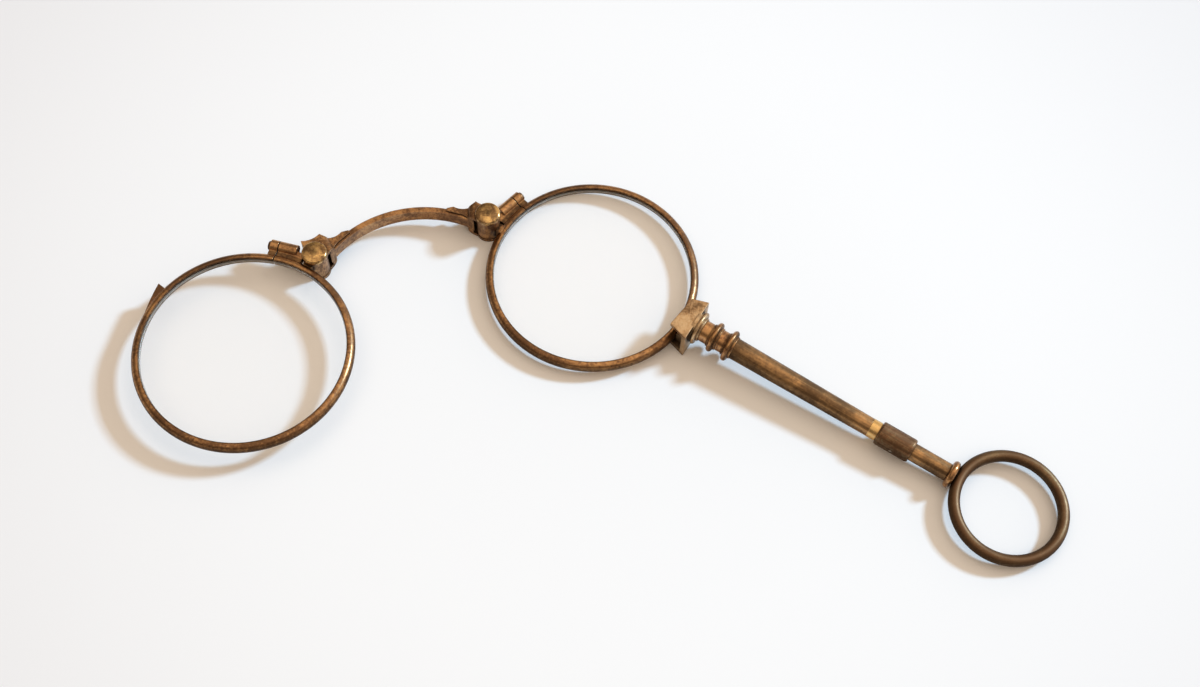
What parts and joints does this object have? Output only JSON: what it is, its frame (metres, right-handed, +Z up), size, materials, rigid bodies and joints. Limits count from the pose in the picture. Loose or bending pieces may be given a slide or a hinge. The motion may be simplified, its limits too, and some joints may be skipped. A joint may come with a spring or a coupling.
{
  "type": "lorgnette",
  "caption": "Folding eyeglass held in front of the eyes: round lenses in thin metal rims, a sprung arched bow with two hinges, and a slim turned handle ending in a finger ring.",
  "frame": {"origin": "bottom centre of the bounding box of the open lorgnette lying on a table", "axes": "+X from the left lens towards the right lens along the line through both centres, +Y towards the bow, +Z up from the table along the optical axis"},
  "size_m": [0.1446, 0.0904, 0.0074],
  "materials": {
    "rim_brass": "aged, reddish brown, half polished",
    "hinge_brass": "aged, worn bright on the domes",
    "bow_brass": "aged, smooth",
    "head_brass": "brushed, pale",
    "handle_brass": "aged, mottled brown",
    "collar_brass": "dull, greenish brown",
    "bright_brass": "bright, rubbed",
    "steel": "darkened spring steel",
    "lens_glass": "clear, polished"
  },
  "bodies": {
    "handle": {"right_rim": "rim_brass", "right_lens": "lens_glass", "right_rim_screw": "steel", "right_hinge_drum": "hinge_brass", "right_drum_lid": "hinge_brass", "right_hinge_spring": "steel", "head_block": "head_brass", "neck": "handle_brass", "handle_tube": "handle_brass", "stop_ring": "bright_brass", "stem": "handle_brass", "end_bead": "handle_brass", "finger_ring": "handle_brass", "latch_spring": "steel"},
    "bridge": {"bow": "bow_brass", "right_yoke": "hinge_brass", "right_hinge_pin": "hinge_brass", "right_hinge_cap": "hinge_brass", "left_yoke": "hinge_brass", "left_hinge_pin": "hinge_brass", "left_hinge_cap": "hinge_brass"},
    "left_eye": {"left_rim": "rim_brass", "left_lens": "lens_glass", "left_rim_screw": "steel", "left_hinge_drum": "hinge_brass", "left_drum_lid": "hinge_brass", "left_hinge_spring": "steel", "latch_tooth": "hinge_brass"},
    "latch": {"latch_rod": "steel", "release_collar": "collar_brass", "cross_pin": "steel"}
  },
  "joints": [
    {"name": "bridge_hinge", "type": "hinge", "parent": "handle", "child": "bridge", "pos_m": [-0.00745, 0.03943, 0.00285], "axis": [0, 0, 1], "range_deg": [0, 88], "stiffness_Nm_per_rad": 0.004, "springref_deg": -42.97},
    {"name": "lens_hinge", "type": "hinge", "parent": "bridge", "child": "left_eye", "pos_m": [-0.03836, 0.03943, 0.00285], "axis": [0, 0, 1], "range_deg": [0, 93.25], "stiffness_Nm_per_rad": 0.003, "springref_deg": -34.38},
    {"name": "release_slide", "type": "slide", "parent": "handle", "child": "latch", "axis": [0.6718, -0.7396, -0.0393], "range_m": [0, 0.0018], "stiffness_N_per_m": 300, "springref_m": -0.004, "deforming": ["latch_spring"]}
  ]
}
